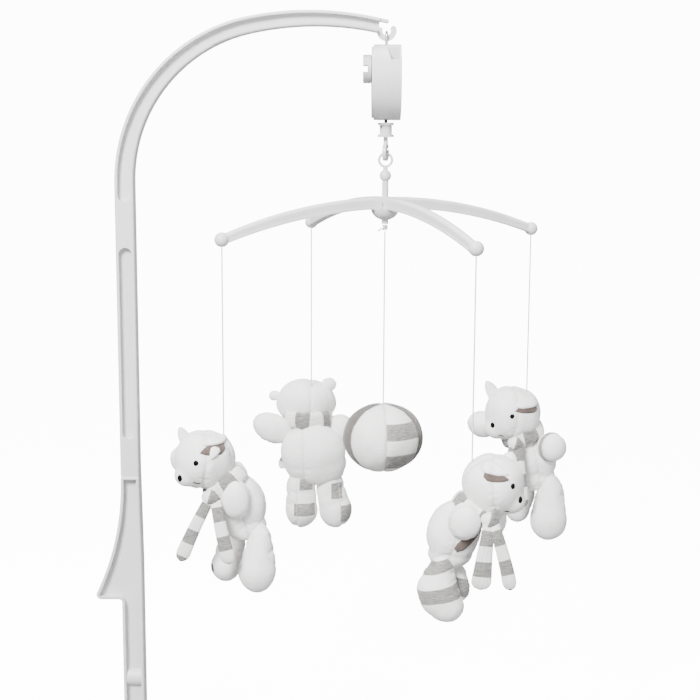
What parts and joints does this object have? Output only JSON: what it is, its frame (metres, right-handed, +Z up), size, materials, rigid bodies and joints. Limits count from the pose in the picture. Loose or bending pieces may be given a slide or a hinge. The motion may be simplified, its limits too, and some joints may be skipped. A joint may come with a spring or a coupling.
{
  "type": "crib mobile",
  "caption": "Clamp-on crib mobile: a jointed arched arm with a wind-up music box, a crossed carrier, plush animals and a patchwork ball on cords.",
  "frame": {"origin": "middle of the flat rail seat under the bracket's nose", "axes": "+Z up, +X from the rail to the hanging toys, the arm lies in the XZ plane"},
  "size_m": [0.5254, 0.3745, 0.7275],
  "materials": {
    "arm_plastic": "satin white moulding",
    "case_plastic": "satin white moulding",
    "knob_plastic": "satin off-white moulding",
    "dark_plastic": "dark moulding",
    "steel": "zinc plated",
    "brass": "plain",
    "rubber": "soft grip",
    "plush": "short white plush",
    "scarf": "striped jersey",
    "patchwork": "sewn panels",
    "cord": "white twisted cord"
  },
  "bodies": {
    "arm": {"clamp_bracket": "arm_plastic", "middle_post": "arm_plastic", "arch_arm": "arm_plastic", "clamp_bolt": "steel"},
    "clamp_plate": {"pressure_plate": "arm_plastic", "grip_pad": "rubber"},
    "clamp_nut": {"wing_nut": "arm_plastic"},
    "music_box": {"case_left": "case_plastic", "case_right": "case_plastic", "hanger_bail": "steel", "movement_plate": "brass", "tone_comb": "steel"},
    "winder": {"winding_knob": "knob_plastic", "winding_arbor": "steel", "spring_barrel": "brass"},
    "drum": {"pin_drum": "brass"},
    "output": {"output_spindle": "dark_plastic", "spool_coupler": "case_plastic", "snap_hook": "case_plastic"},
    "carrier": {"ring_stem": "arm_plastic", "hub_cap": "arm_plastic", "spoke_bar_upper": "arm_plastic", "spoke_bar_lower": "arm_plastic", "cord_knot": "cord"},
    "thread_left": {"string_left": "cord"},
    "toy_left": {"plush_left_cat": "plush", "scarf_left_cat": "scarf"},
    "thread_back": {"string_back": "cord"},
    "toy_back": {"plush_back_bear": "plush", "scarf_back_bear": "scarf"},
    "thread_front": {"string_front": "cord"},
    "toy_front": {"plush_front_cat": "plush", "scarf_front_cat": "scarf"},
    "thread_right": {"string_right": "cord"},
    "toy_right": {"plush_right_cat": "plush", "scarf_right_cat": "scarf"},
    "thread_middle": {"string_middle": "cord"},
    "ball": {"patchwork_ball": "patchwork"}
  },
  "joints": [
    {"name": "plate_slide", "type": "slide", "parent": "arm", "child": "clamp_plate", "axis": [-1, 0, 0], "range_m": [-0.012, 0.012]},
    {"name": "nut_spin", "type": "hinge", "parent": "clamp_plate", "child": "clamp_nut", "pos_m": [-0.03025, 0, -0.13], "axis": [-1, 0, 0], "range_deg": [-2165, 2165]},
    {"name": "box_swing", "type": "hinge", "parent": "arm", "child": "music_box", "pos_m": [0.27225, 0, 0.55867], "axis": [0, 1, 0], "range_deg": [-8, 8]},
    {"name": "knob_turn", "type": "hinge", "parent": "music_box", "child": "winder", "pos_m": [0.27225, 0, 0.52347], "axis": [1, 0, 0], "continuous": true},
    {"name": "output_turn", "type": "hinge", "parent": "music_box", "child": "output", "pos_m": [0.27225, 0, 0.47557], "axis": [0, 0, 1], "continuous": true},
    {"name": "drum_turn", "type": "hinge", "parent": "music_box", "child": "drum", "pos_m": [0.27225, 0.014, 0.50497], "axis": [1, 0, 0], "continuous": true},
    {"name": "carrier_swing", "type": "hinge", "parent": "output", "child": "carrier", "pos_m": [0.27225, 0, 0.44217], "axis": [1, 0, 0], "range_deg": [-8, 8]},
    {"name": "swing_left", "type": "hinge", "parent": "carrier", "child": "thread_left", "pos_m": [0.12154, -0.07514, 0.36052], "axis": [-0.4462, 0.8949, 0], "range_deg": [-8, 22]},
    {"name": "twist_left", "type": "hinge", "parent": "thread_left", "child": "toy_left", "pos_m": [0.12154, -0.07514, 0.18242], "axis": [0, 0, 1], "continuous": true},
    {"name": "swing_back", "type": "hinge", "parent": "carrier", "child": "thread_back", "pos_m": [0.19711, 0.15071, 0.36052], "axis": [0.8949, 0.4462, 0], "range_deg": [-8, 22]},
    {"name": "twist_back", "type": "hinge", "parent": "thread_back", "child": "toy_back", "pos_m": [0.19711, 0.15071, 0.18832], "axis": [0, 0, 1], "continuous": true},
    {"name": "swing_front", "type": "hinge", "parent": "carrier", "child": "thread_front", "pos_m": [0.34739, -0.15071, 0.36052], "axis": [-0.8949, -0.4462, 0], "range_deg": [-8, 22]},
    {"name": "twist_front", "type": "hinge", "parent": "thread_front", "child": "toy_front", "pos_m": [0.34739, -0.15071, 0.17882], "axis": [0, 0, 1], "continuous": true},
    {"name": "swing_right", "type": "hinge", "parent": "carrier", "child": "thread_right", "pos_m": [0.42296, 0.07514, 0.36052], "axis": [0.4462, -0.8949, 0], "range_deg": [-8, 22]},
    {"name": "twist_right", "type": "hinge", "parent": "thread_right", "child": "toy_right", "pos_m": [0.42296, 0.07514, 0.19812], "axis": [0, 0, 1], "continuous": true},
    {"name": "swing_middle", "type": "hinge", "parent": "carrier", "child": "thread_middle", "pos_m": [0.27225, 0, 0.37012], "axis": [1, 0, 0], "range_deg": [-8, 8]},
    {"name": "twist_middle", "type": "hinge", "parent": "thread_middle", "child": "ball", "pos_m": [0.27225, 0, 0.20082], "axis": [0, 0, 1], "continuous": true}
  ],
  "couplings": [
    {"joint": "nut_spin", "follows": "plate_slide", "rad_per_m": 3141.6},
    {"joint": "drum_turn", "follows": "output_turn", "ratio": 1}
  ]
}
